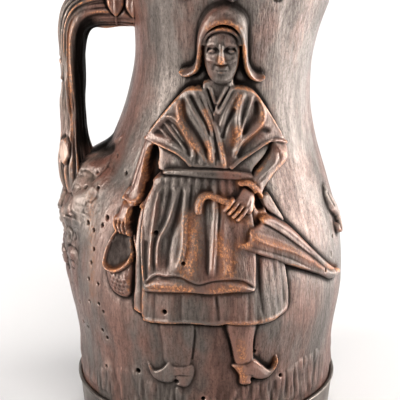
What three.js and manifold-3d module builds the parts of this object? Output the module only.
// A carved wooden pitcher with a branch handle, a poured spout and the relief of a countrywoman
// in a winged bonnet, who holds an umbrella and a basket. A metal band is fitted round its foot.
// Millimetres, +Z up, the figure faces -Y, the spout points to +X and the handle stands at -X.
import * as THREE from "three";
import { mergeVertices } from "three/addons/utils/BufferGeometryUtils.js";
import Module from "manifold-3d";

const wasm = await Module();
wasm.setup();

// Driving dimensions of the vessel.
const RIM_HEIGHT = 298;
const FOOT_RADIUS = 78.5;
const BELLY_RADIUS = 87;
const BELLY_HEIGHT = 95;
const NECK_RADIUS = 55;
const NECK_HEIGHT = 245;
const NECK_LEAN = 11;
const FLOOR_THICKNESS = 14;
const BELLY_WALL = 12;
const RIM_WALL = 7;
const SPOUT_START = 235;
const SPOUT_REACH = 19;
const SPOUT_RISE = 9;
const SPOUT_HALF_ANGLE = 38;

// Driving dimensions of the band, the handle and the carving.
const BAND_HEIGHT = 30;
const BAND_THICKNESS = 1.4;
const BAND_BEAD = 1.3;
const BAND_GAP = 0.4;
const HANDLE_X = -84;
const HANDLE_HALF_WIDTH = 8;
const HANDLE_HALF_DEPTH = 10.5;
const SINK = 3;
const LAPPETS = 13;
const TUFTS = 18;
const TUFT_HEIGHT = 54;

// How finely the curved walls are faceted.
const WALL_COLUMNS = 36;
const CAVITY_COLUMNS = 24;
const WALL_LEVELS = [0, 30, 52, 74, 95, 112, 128, 144, 160, 175, 190, 205, 221, 237, 255, 273];
const CAVITY_LEVELS = [FLOOR_THICKNESS, 22, 60, 95, 130, 160, 190, 215, 245, 273];

const radians = THREE.MathUtils.degToRad;
const lerp = THREE.MathUtils.lerp;
const smoothstep = THREE.MathUtils.smoothstep;

// A smooth function through pairs of [position, value].
function through(pairs) {
  const slope = pairs.map((_, i) => {
    const before = pairs[Math.max(i - 1, 0)];
    const after = pairs[Math.min(i + 1, pairs.length - 1)];
    return (after[1] - before[1]) / (after[0] - before[0]);
  });
  return (position) => {
    let i = 0;
    while (i < pairs.length - 2 && position > pairs[i + 1][0]) i++;
    const [start, startValue] = pairs[i];
    const [end, endValue] = pairs[i + 1];
    const span = end - start;
    const t = THREE.MathUtils.clamp((position - start) / span, 0, 1);
    const startPull = (t ** 3 - 2 * t ** 2 + t) * span * slope[i];
    const endPull = (t ** 3 - t ** 2) * span * slope[i + 1];
    const share = 3 * t ** 2 - 2 * t ** 3;
    return lerp(startValue, endValue, share) + startPull + endPull;
  };
}

const outline = through([
  [0, FOOT_RADIUS],
  [30, 81.3],
  [60, 82.5],
  [BELLY_HEIGHT, BELLY_RADIUS],
  [130, 84],
  [160, 74.5],
  [190, 63.5],
  [215, 57.2],
  [NECK_HEIGHT, NECK_RADIUS],
  [310, 61],
]);

// How far the vessel's own axis leans towards the spout at each height.
const lean = through([
  [0, 0],
  [100, 0],
  [160, 2.5],
  [215, 7.5],
  [250, NECK_LEAN],
  [310, NECK_LEAN + 1],
]);

const wallThickness = (z) => lerp(BELLY_WALL, RIM_WALL, smoothstep(z, 150, 285));

// Share of the spout at a turn about the axis, in degrees from the front.
function spoutShare(turn) {
  const away = THREE.MathUtils.euclideanModulo(turn - 90 + 180, 360) - 180;
  return Math.exp(-((away / SPOUT_HALF_ANGLE) ** 2));
}

function wallRadius(turn, z) {
  const climb = Math.max(z - SPOUT_START, 0) / (RIM_HEIGHT + SPOUT_RISE - SPOUT_START);
  return outline(z) + SPOUT_REACH * climb ** 2 * spoutShare(turn);
}

function wallPoint(turn, z, radius) {
  const angle = radians(turn);
  return new THREE.Vector3(lean(z) + radius * Math.sin(angle), -radius * Math.cos(angle), z);
}

// A point of the carving: across from the vessel's axis as seen from the facing side, and its height.
function carvedPoint(across, z, rise, facing) {
  const turn = facing + THREE.MathUtils.radToDeg(Math.asin(across / outline(z)));
  return wallPoint(turn, z, wallRadius(turn, z) + rise);
}

// A closed solid from indexed points, turned so that its faces point out.
function solidFrom(points, faces) {
  let volume = 0;
  for (const [i, j, k] of faces) volume += points[i].dot(points[j].clone().cross(points[k]));
  const ordered = volume < 0 ? faces.map(([i, j, k]) => [i, k, j]) : faces;
  const geometry = new THREE.BufferGeometry().setFromPoints(points);
  geometry.setIndex(ordered.flat());
  return solidOf(geometry);
}

function solidOf(geometry) {
  const bare = geometry.clone();
  bare.deleteAttribute("normal");
  bare.deleteAttribute("uv");
  const merged = mergeVertices(bare, 1e-4);
  const mesh = new wasm.Mesh({
    numProp: 3,
    vertProperties: merged.attributes.position.array,
    triVerts: new Uint32Array(merged.index.array),
  });
  return new wasm.Manifold(mesh);
}

function geometryOf(solid) {
  const mesh = solid.getMesh();
  const geometry = new THREE.BufferGeometry();
  geometry.setAttribute("position", new THREE.BufferAttribute(mesh.vertProperties, 3));
  geometry.setIndex(new THREE.BufferAttribute(mesh.triVerts, 1));
  const faceted = geometry.toNonIndexed();
  faceted.computeVertexNormals();
  return faceted;
}

// A solid lofted through closed rings that all have the same number of points.
function loft(rings) {
  const count = rings[0].length;
  const points = rings.flat();
  const faces = [];
  for (let level = 0; level < rings.length - 1; level++) {
    for (let side = 0; side < count; side++) {
      const a = level * count + side;
      const b = level * count + ((side + 1) % count);
      faces.push([a, b, a + count], [b, b + count, a + count]);
    }
  }
  for (const end of [0, rings.length - 1]) {
    const middle = points.length;
    points.push(
      rings[end].reduce((sum, p) => sum.add(p), new THREE.Vector3()).divideScalar(count),
    );
    for (let side = 0; side < count; side++) {
      const a = end * count + side;
      const b = end * count + ((side + 1) % count);
      faces.push(end === 0 ? [b, a, middle] : [a, b, middle]);
    }
  }
  return solidFrom(points, faces);
}

// A solid between a grid of raised points and the same grid sunk into the wall.
function pad(rows, columns, raised, sunk) {
  const width = columns + 1;
  const layer = (rows + 1) * width;
  const points = [];
  for (const at of [raised, sunk]) {
    for (let row = 0; row <= rows; row++) {
      for (let column = 0; column <= columns; column++) {
        points.push(at(column / columns, row / rows));
      }
    }
  }
  const faces = [];
  const quad = (a, b, c, d) => faces.push([a, b, c], [a, c, d]);
  for (let row = 0; row < rows; row++) {
    for (let column = 0; column < columns; column++) {
      const a = row * width + column;
      quad(a, a + 1, a + width + 1, a + width);
      quad(a + layer, a + width + layer, a + width + 1 + layer, a + 1 + layer);
    }
  }
  for (let column = 0; column < columns; column++) {
    const last = rows * width + column;
    quad(column, column + layer, column + 1 + layer, column + 1);
    quad(last, last + 1, last + 1 + layer, last + layer);
  }
  for (let row = 0; row < rows; row++) {
    const first = row * width;
    const last = first + columns;
    quad(first, first + width, first + width + layer, first + layer);
    quad(last, last + layer, last + width + layer, last + width);
  }
  return solidFrom(points, faces);
}

const curve = (...points) =>
  new THREE.SplineCurve(points.map(([across, z]) => new THREE.Vector2(across, z)));

// Cloth between two edge curves, with a height for each share across and along, and an optional shift.
function panel({ left, right, rows, columns, height, shift = () => [0, 0], facing = 0 }) {
  const at = (across, along) => {
    const [sideways, up] = shift(across, along);
    const spot = left.getPoint(along).lerp(right.getPoint(along), across);
    return [spot.x + sideways, spot.y + up];
  };
  return pad(
    rows,
    columns,
    (across, along) => carvedPoint(...at(across, along), height(across, along), facing),
    (across, along) => carvedPoint(...at(across, along), -SINK, facing),
  );
}

// A rounded member along a path. Half widths and crowns run through the values given along it.
function limb({ path, halfWidths, base, crown, rows = 4, columns = 4, facing = 0 }) {
  const along = (values) => {
    const last = values.length - 1;
    return last === 0 ? () => values[0] : through(values.map((value, i) => [i / last, value]));
  };
  const spline = curve(...path);
  const halfWidth = along(halfWidths);
  const baseAt = along([base].flat());
  const crownAt = along([crown].flat());
  const at = (across, t) => {
    const middle = spline.getPoint(t);
    const tangent = spline.getTangent(t);
    const offset = Math.cos(Math.PI * (1 - across)) * halfWidth(t);
    return [middle.x + tangent.y * offset, middle.y - tangent.x * offset];
  };
  const round = (across, t) => baseAt(t) + crownAt(t) * Math.sin(Math.PI * across);
  return pad(
    rows,
    columns,
    (across, t) => carvedPoint(...at(across, t), round(across, t), facing),
    (across, t) => carvedPoint(...at(across, t), -SINK, facing),
  );
}

// A rounded boss on the wall with an elliptical foot.
function boss({ middle, halfWidth, halfHeight, base, crown, rings = 3, sides = 10, facing = 0 }) {
  const ringAt = (share, rise) =>
    Array.from({ length: sides }, (_, side) => {
      const angle = (2 * Math.PI * side) / sides;
      const across = middle[0] + halfWidth * share * Math.cos(angle);
      return carvedPoint(across, middle[1] + halfHeight * share * Math.sin(angle), rise, facing);
    });
  const levels = [ringAt(1, -SINK)];
  for (let ring = 0; ring < rings; ring++) {
    const tilt = (Math.PI / 2) * (ring / rings);
    levels.push(ringAt(Math.cos(tilt), base + crown * Math.sin(tilt)));
  }
  levels.push(ringAt(0.08, base + crown));
  return loft(levels);
}

const union = (solids) => solids.reduce((sum, solid) => sum.add(solid));

// The turned and hollowed vessel.
function wallRing(z, columns, inset, lift = 0) {
  return Array.from({ length: columns }, (_, column) => {
    const turn = (360 * column) / columns;
    return wallPoint(turn, z, wallRadius(turn, z) - inset).setZ(z + lift * spoutShare(turn));
  });
}

function vesselOutside() {
  const rings = WALL_LEVELS.map((z) => wallRing(z, WALL_COLUMNS, 0));
  rings.push(wallRing(287, WALL_COLUMNS, 0, SPOUT_RISE * 0.6));
  rings.push(wallRing(RIM_HEIGHT - 1.5, WALL_COLUMNS, 0, SPOUT_RISE));
  rings.push(wallRing(RIM_HEIGHT, WALL_COLUMNS, 1.5, SPOUT_RISE));
  return loft(rings);
}

function cavity() {
  const rings = CAVITY_LEVELS.map((z) => wallRing(z, CAVITY_COLUMNS, wallThickness(z)));
  rings.push(wallRing(RIM_HEIGHT - 2, CAVITY_COLUMNS, RIM_WALL, SPOUT_RISE));
  rings.push(wallRing(RIM_HEIGHT + 8, CAVITY_COLUMNS, RIM_WALL - 2, SPOUT_RISE));
  return loft(rings);
}

// A raised border all round the wall, from [height, rise] at each level and turn.
function border(columns, levels) {
  const rings = levels.map((levelAt) =>
    Array.from({ length: columns }, (_, column) => {
      const turn = (360 * column) / columns;
      const [z, rise] = levelAt(turn, column);
      return wallPoint(turn, z, wallRadius(turn, z) + rise);
    }),
  );
  return loft(rings);
}

// Pointed leaves hang from the rim all the way round.
function lappets() {
  const edge = (turn, column) => {
    const drop = [0, 0.45, 1, 0.45][column % 4];
    return RIM_HEIGHT - 7 - 10 * drop + SPOUT_RISE * spoutShare(turn);
  };
  const top = (turn) => RIM_HEIGHT - 2 + SPOUT_RISE * spoutShare(turn);
  return border(4 * LAPPETS, [
    (turn, column) => [edge(turn, column), -SINK],
    (turn, column) => [edge(turn, column), 1],
    (turn, column) => [top(turn), column % 4 === 0 ? 0.8 : 2],
    (turn) => [top(turn), -SINK],
  ]);
}

// Tufts of grass stand round the foot, of uneven height.
function grass() {
  const top = (column) => {
    const tuft = Math.floor(column / 3);
    const unevenness = Math.sin(tuft * 2.4) + Math.sin(tuft * 1.1);
    const blade = [-6, 0, 2.5][column % 3];
    return TUFT_HEIGHT + 2.8 * unevenness + blade;
  };
  return border(3 * TUFTS, [
    () => [BAND_HEIGHT + 1.5, -SINK],
    (_, column) => [BAND_HEIGHT + 1.5, column % 3 === 0 ? 0.4 : 2.2],
    (_, column) => [top(column), column % 3 === 0 ? 0.3 : 1.4],
    (_, column) => [top(column), -SINK],
  ]);
}

// A drooping spray of leaves for the sides that the figure leaves bare.
function spray(facing, top) {
  const stalk = limb({
    path: [[2, top], [-3, top - 22], [1, top - 46], [-6, top - 66]],
    halfWidths: [1.6, 2.2, 1.8, 1.2],
    base: 1,
    crown: 2,
    rows: 4,
    columns: 2,
    facing,
  });
  const leaf = (side, height) =>
    limb({
      path: [[0, height], [9 * side, height - 6], [17 * side, height - 17]],
      halfWidths: [1, 5.5, 0.8],
      base: 0.8,
      crown: [1.5, 3.2, 1],
      rows: 3,
      columns: 2,
      facing,
    });
  const leaves = [1, -1, 1].map((side, i) => leaf(side, top - 8 - 19 * i));
  return union([stalk, ...leaves]);
}

// The skirt hangs in flat pleats behind the apron.
function skirt() {
  const pleats = 7;
  return panel({
    left: curve([-26, 184], [-38, 160], [-43, 128], [-46.5, 101]),
    right: curve([18, 184], [40, 160], [47, 131], [50.5, 102]),
    rows: 4,
    columns: 2 * pleats,
    height: (across, along) => 3 + along * (0.5 - 0.9 * Math.cos(2 * Math.PI * pleats * across)),
    shift: (across, along) => [0, -4.5 * along * Math.sin(Math.PI * across)],
  });
}

// The apron is gathered at the belt and ends in a rolled hem.
function apron() {
  const gathers = 5;
  const cloth = panel({
    left: curve([-28, 184], [-36, 172], [-39.5, 149], [-38, 126], [-36, 119]),
    right: curve([16, 184], [25, 166], [27, 141], [26.5, 119]),
    rows: 4,
    columns: 2 * gathers,
    height: (across, along) =>
      5.6 - (1.3 - 0.5 * along) * Math.cos(2 * Math.PI * gathers * across),
  });
  const hem = limb({
    path: [[-37, 119], [-28, 123], [-17, 123.5], [-6, 121], [5, 120.5], [15, 122], [27, 119]],
    halfWidths: [1, 3.6, 4, 3, 3.2, 3.8, 1],
    base: 5,
    crown: 2.6,
    rows: 8,
    columns: 2,
  });
  return cloth.add(hem);
}

// Two crossing halves of a pleated shawl fan out from the waist to the shoulders.
function shawlHalf(hemEdge, frontEdge, bow, pleats) {
  return panel({
    left: curve(...hemEdge),
    right: curve(...frontEdge),
    rows: 4,
    columns: 2 * pleats,
    height: (across, along) => {
      const fold = Math.cos(2 * Math.PI * pleats * across);
      return 6.6 + 0.8 * Math.sin(Math.PI * along) + (1.5 - 0.6 * along) * fold;
    },
    shift: (across, along) => {
      const share = Math.sin(Math.PI * across) * (1 - along) ** 2;
      return [bow[0] * share, bow[1] * share];
    },
  });
}

function shawl() {
  const left = shawlHalf(
    [[-38.5, 204], [-26, 197.5], [-14, 192], [-4, 190]],
    [[-8, 243], [-4, 225], [1, 207], [5, 190]],
    [-8, 9],
    5,
  );
  const right = shawlHalf(
    [[38.5, 202], [27, 202], [16, 197], [9, 190]],
    [[6, 242], [0, 226], [1, 208], [4, 190]],
    [6, 9],
    5,
  );
  return left.add(right);
}

function bodice() {
  return panel({
    left: curve([-27, 206], [-26, 184]),
    right: curve([22, 206], [16, 184]),
    rows: 2,
    columns: 6,
    height: () => 4.8,
  });
}

function belt() {
  return limb({
    path: [[-28, 186], [-8, 186], [17, 183.5]],
    halfWidths: [2.3],
    base: 5.4,
    crown: 1.8,
    rows: 3,
    columns: 2,
  });
}

// A hanging arm with a flared cuff and four closed fingers.
function basketArm() {
  const sleeve = limb({
    path: [[-33, 204], [-38.5, 187], [-45, 169]],
    halfWidths: [4.5, 5, 4.6],
    base: 2.5,
    crown: 5,
    rows: 3,
  });
  const cuff = limb({
    path: [[-44.4, 171.5], [-46.4, 165]],
    halfWidths: [4.8, 7],
    base: 3,
    crown: 5.6,
    rows: 1,
  });
  const hand = limb({
    path: [[-46.5, 167], [-49, 159], [-50.5, 152.5]],
    halfWidths: [3.4, 4, 4.6],
    base: 2.5,
    crown: 3.2,
    rows: 2,
    columns: 3,
  });
  const fingers = [0, 1, 2, 3].map((i) =>
    limb({
      path: [[-54.2 + 2.5 * i, 155], [-54.6 + 2.5 * i, 150.5], [-53.8 + 2.4 * i, 146.5]],
      halfWidths: [1.1, 1.2, 0.8],
      base: 4,
      crown: [2, 2.6, 1.4],
      rows: 2,
      columns: 2,
    }),
  );
  return union([sleeve, cuff, hand, ...fingers]);
}

// The basket has an oval loop of a handle that runs on into its rim.
function basket() {
  const loopPoints = Array.from({ length: 13 }, (_, i) => {
    const angle = (2 * Math.PI * i) / 12;
    const across = 8.2 * Math.cos(angle) + 2.2 * Math.sin(angle);
    return [-52.6 + across, 137 + 12 * Math.sin(angle) + 3 * Math.cos(angle)];
  });
  const loop = limb({
    path: loopPoints,
    halfWidths: [1.3],
    base: 2.6,
    crown: 2,
    rows: 9,
    columns: 2,
  });
  const contents = boss({
    middle: [-52.6, 134],
    halfWidth: 8,
    halfHeight: 9.5,
    base: 1.6,
    crown: 1.2,
    rings: 2,
    sides: 8,
  });
  const body = panel({
    left: curve([-61.5, 129], [-60.5, 119], [-58, 110]),
    right: curve([-46, 134], [-45, 121], [-46.5, 110]),
    rows: 2,
    columns: 4,
    height: (across, along) => 2.6 + (3.6 - 1.2 * along) * Math.sin(Math.PI * across),
  });
  return union([contents, loop, body]);
}

// A bent arm whose hand grips the umbrella.
function umbrellaArm() {
  const sleeve = limb({
    path: [[33, 205], [31.5, 193], [26.5, 184], [21.8, 177.6]],
    halfWidths: [5.6, 8, 8.4, 7.2],
    base: 3.6,
    crown: [5, 6, 6, 5.6],
    rows: 4,
    columns: 4,
  });
  const cuff = limb({
    path: [[22.8, 179.4], [20.3, 174.6]],
    halfWidths: [7.4, 8.8],
    base: 4.6,
    crown: 6.6,
    rows: 1,
  });
  const hand = limb({
    path: [[21, 177], [18.5, 171], [14.5, 167.5]],
    halfWidths: [4.6, 5.2, 5],
    base: 5,
    crown: 4.6,
    rows: 2,
    columns: 3,
  });
  const fingers = [0, 1, 2, 3].map((i) => {
    const knuckle = [9 + 3 * i, 172.6 - 1.3 * i];
    return limb({
      path: [knuckle, [knuckle[0] - 1.6, knuckle[1] - 4], [knuckle[0] - 1.4, knuckle[1] - 7.4]],
      halfWidths: [1.3, 1.4, 1],
      base: 7.4,
      crown: [2.2, 2.8, 1.6],
      rows: 2,
      columns: 2,
    });
  });
  return union([sleeve, cuff, hand, ...fingers]);
}

// The furled umbrella has a crook handle and three rolls of cloth that run to the tip.
function umbrella() {
  const rolls = 3;
  const crook = limb({
    path: [[-8.4, 166], [-8, 173], [-4.6, 176.8], [0, 175.2], [6, 173], [13, 170]],
    halfWidths: [1.9, 2],
    base: 5,
    crown: 4.4,
    rows: 7,
    columns: 2,
  });
  const shaft = limb({
    path: [[16, 168], [27, 156]],
    halfWidths: [3],
    base: 4.5,
    crown: 3.4,
    rows: 1,
    columns: 2,
  });
  const cloth = panel({
    left: curve([26, 163.5], [42, 157], [68, 128.5], [75.5, 114]),
    right: curve([15, 146.5], [26, 141], [49, 130], [75, 112]),
    rows: 4,
    columns: 3 * rolls,
    height: (across, along) => {
      const roll = Math.abs(Math.sin(Math.PI * rolls * across));
      return lerp(5, 2.4, along) + lerp(4.4, 1.2, along) * roll ** 0.7;
    },
  });
  const flap = limb({
    path: [[27.5, 171.5], [33, 166], [40, 158]],
    halfWidths: [2.6, 2.2, 1],
    base: 3.2,
    crown: 1.8,
    rows: 2,
    columns: 2,
  });
  return union([crook, shaft, cloth, flap]);
}

const FACE_MIDDLE = [-2, 256];
const FACE_HALF_WIDTH = 10.5;
const FACE_HALF_HEIGHT = 17;

// A calm, plain face on even proportions: nose in the middle third, eyes at mid height.
function faceRise(across, up) {
  const hill = (x, y, width, height) =>
    Math.exp(-(((across - x) / width) ** 2) - ((up - y) / height) ** 2);
  const nose = 3 * hill(0, -0.12, 0.16, 0.2) + 1.5 * hill(0, 0.1, 0.12, 0.22);
  const sockets = -1.5 * (hill(-0.42, 0.13, 0.24, 0.1) + hill(0.42, 0.13, 0.24, 0.1));
  const lips = 0.9 * hill(0, -0.47, 0.3, 0.09);
  const chin = 1.1 * hill(0, -0.78, 0.26, 0.13);
  return nose + sockets + lips + chin;
}

function head() {
  const face = panel({
    left: curve([0, 1], [0, 0], [0, -1]),
    right: curve([0, 1], [0, 0], [0, -1]),
    rows: 9,
    columns: 6,
    shift: (across, along) => {
      const up = Math.cos(Math.PI * along);
      const halfWidth = FACE_HALF_WIDTH * (1 - 0.12 * (1 - up)) * Math.sqrt(1.04 - up * up);
      const sideways = Math.sin(Math.PI * (across - 0.5)) * halfWidth;
      const level = up - (1 - 2 * along);
      return [FACE_MIDDLE[0] + sideways, FACE_MIDDLE[1] + FACE_HALF_HEIGHT * up - up + level];
    },
    height: (across, along) => {
      const sideways = Math.sin(Math.PI * (across - 0.5));
      const up = Math.cos(Math.PI * along);
      return 3.6 + 3.4 * Math.sqrt(Math.max(1 - sideways ** 2, 0)) + faceRise(sideways, up);
    },
  });
  const neck = panel({
    left: curve([-9, 246], [-7, 238], [-3, 222]),
    right: curve([7, 246], [5, 238], [-1, 222]),
    rows: 2,
    columns: 2,
    height: () => 4.4,
  });
  return face.add(neck);
}

// Each edge of the bonnet is a wing, a side and a crown, mirrored about the face.
function bonnetEdge(halfOutline) {
  const leftHalf = halfOutline.map(([across, z]) => [FACE_MIDDLE[0] - across, z]);
  const rightHalf = halfOutline
    .slice(0, -1)
    .reverse()
    .map(([across, z]) => [FACE_MIDDLE[0] + across, z]);
  return curve(...leftHalf, ...rightHalf);
}

function bonnet() {
  return panel({
    left: bonnetEdge([[23, 243], [14, 243.5], [10.6, 252], [10.2, 265], [0, 275.5]]),
    right: bonnetEdge([[24, 246.5], [16.5, 250.5], [14, 260], [13.2, 277], [0, 287]]),
    rows: 14,
    columns: 2,
    height: (across, along) => {
      const wing = Math.abs(2 * along - 1) ** 6;
      return 7.2 - 2 * wing + 2.6 * Math.sin(Math.PI * across ** 0.7);
    },
  });
}

function leg(side, across) {
  return limb({
    path: [[across, 100], [across + side, 66]],
    halfWidths: [8.4, 6.8],
    base: 0.8,
    crown: 3.4,
    rows: 2,
    columns: 4,
  });
}

// A wooden shoe with a heel block and a toe that turns up; side is 1 or -1, where the toe points.
function clog(side, heelAcross) {
  const along = (distance, z) => [heelAcross + side * distance, z];
  const shoe = limb({
    path: [along(-2, 65), along(8, 63), along(17, 60.5), along(23, 62), along(26, 69)],
    halfWidths: [3.4, 5.4, 4.8, 2.8, 0.8],
    base: 2.4,
    crown: [3, 4.6, 4, 2.6, 1.4],
    rows: 5,
    columns: 3,
  });
  const heel = limb({
    path: [along(2, 62), along(2.5, 54.5)],
    halfWidths: [4, 3.2],
    base: 2.4,
    crown: 2,
    rows: 1,
    columns: 2,
  });
  return shoe.add(heel);
}

function countrywoman() {
  return union([
    leg(-1, -17),
    leg(1, 20.5),
    clog(-1, -9.5),
    clog(1, 16.5),
    skirt(),
    bodice(),
    apron(),
    belt(),
    basketArm(),
    basket(),
    shawl(),
    umbrella(),
    umbrellaArm(),
    head(),
    bonnet(),
  ]);
}

// A branch swept in the plane through the handle, with its own thickness and depth at each point.
function branch(path, halfWidths, halfDepths, rows, sides) {
  const spline = curve(...path);
  const last = path.length - 1;
  const widthAt = through(halfWidths.map((value, i) => [i / last, value]));
  const depthAt = through(halfDepths.map((value, i) => [i / last, value]));
  const rings = Array.from({ length: rows + 1 }, (_, row) => {
    const t = row / rows;
    const middle = spline.getPoint(t);
    const tangent = spline.getTangent(t);
    return Array.from({ length: sides }, (_, side) => {
      const angle = (2 * Math.PI * side) / sides;
      const outward = widthAt(t) * Math.cos(angle);
      return new THREE.Vector3(
        middle.x - tangent.y * outward,
        depthAt(t) * Math.sin(angle),
        middle.y + tangent.x * outward,
      );
    });
  });
  return loft(rings);
}

// A sawn twig on the handle, an oval stub that leans out in the given direction.
function knot(x, y, z, turn, radius) {
  const stub = new THREE.CylinderGeometry(radius * 0.8, radius, 8, 8);
  stub.rotateX(Math.PI / 2).scale(0.85, 1, 1.35);
  stub.rotateZ(radians(turn)).translate(x, y, z);
  return solidOf(stub);
}

function handle() {
  const grip = branch(
    [
      [-42, 272], [-60, 272], [-75, 270.5], [HANDLE_X + 0.5, 260], [HANDLE_X - 0.5, 243],
      [HANDLE_X, 222], [HANDLE_X + 0.5, 200], [HANDLE_X + 1, 182], [HANDLE_X + 4, 158],
    ],
    [13, 13, 12, 9.5, HANDLE_HALF_WIDTH, HANDLE_HALF_WIDTH, 7.6, 8.4, 10],
    [13, 12, 11.5, 11, HANDLE_HALF_DEPTH, 10, 10, 11, 13],
    16,
    8,
  );
  const root = branch(
    [[-84, 187], [-81.5, 170], [-78.5, 150], [-77, 128], [-77, 104], [-76, 86]],
    [7.5, 13.5, 16, 16, 12.5, 8],
    [11, 17, 21, 23, 21, 13],
    8,
    10,
  );
  const knots = [
    knot(-87, -8, 178, -35, 5.6),
    knot(-90, -10, 152, -60, 6.6),
    knot(-88, 9, 208, -140, 4.6),
  ];
  return union([grip, root, ...knots]);
}

function carvedPitcher() {
  const outside = union([
    vesselOutside(),
    handle(),
    grass(),
    lappets(),
    countrywoman(),
    spray(101, 200),
    spray(172, 215),
  ]);
  return outside.subtract(cavity());
}

// A sheet metal band with a rolled upper edge, fitted round the foot.
function footBand() {
  const inside = (z) => outline(z) + BAND_GAP;
  const outside = (z) => inside(z) + BAND_THICKNESS;
  const beadMiddle = new THREE.Vector2(inside(BAND_HEIGHT) + BAND_BEAD, BAND_HEIGHT - BAND_BEAD);
  const bead = Array.from({ length: 3 }, (_, i) => {
    const angle = radians(-45 + 100 * i);
    return new THREE.Vector2(
      beadMiddle.x + BAND_BEAD * Math.cos(angle),
      beadMiddle.y + BAND_BEAD * Math.sin(angle),
    );
  });
  const profile = [
    new THREE.Vector2(inside(0), 0),
    new THREE.Vector2(outside(0) - 0.4, 0),
    new THREE.Vector2(outside(0), 0.6),
    new THREE.Vector2(outside(26), 26),
    ...bead,
    new THREE.Vector2(inside(0), 0),
  ];
  return new THREE.LatheGeometry(profile, WALL_COLUMNS).rotateX(Math.PI / 2);
}

const wood = new THREE.MeshStandardMaterial({ color: 0x4a3026, roughness: 0.5, metalness: 0 });
const metal = new THREE.MeshStandardMaterial({ color: 0x8a8580, roughness: 0.35, metalness: 0.9 });

const pitcher = new THREE.Mesh(geometryOf(carvedPitcher()), wood);
pitcher.name = "carved_pitcher";

const band = new THREE.Mesh(footBand(), metal);
band.name = "foot_band";

const object = new THREE.Group();
object.add(pitcher, band);

export default object;
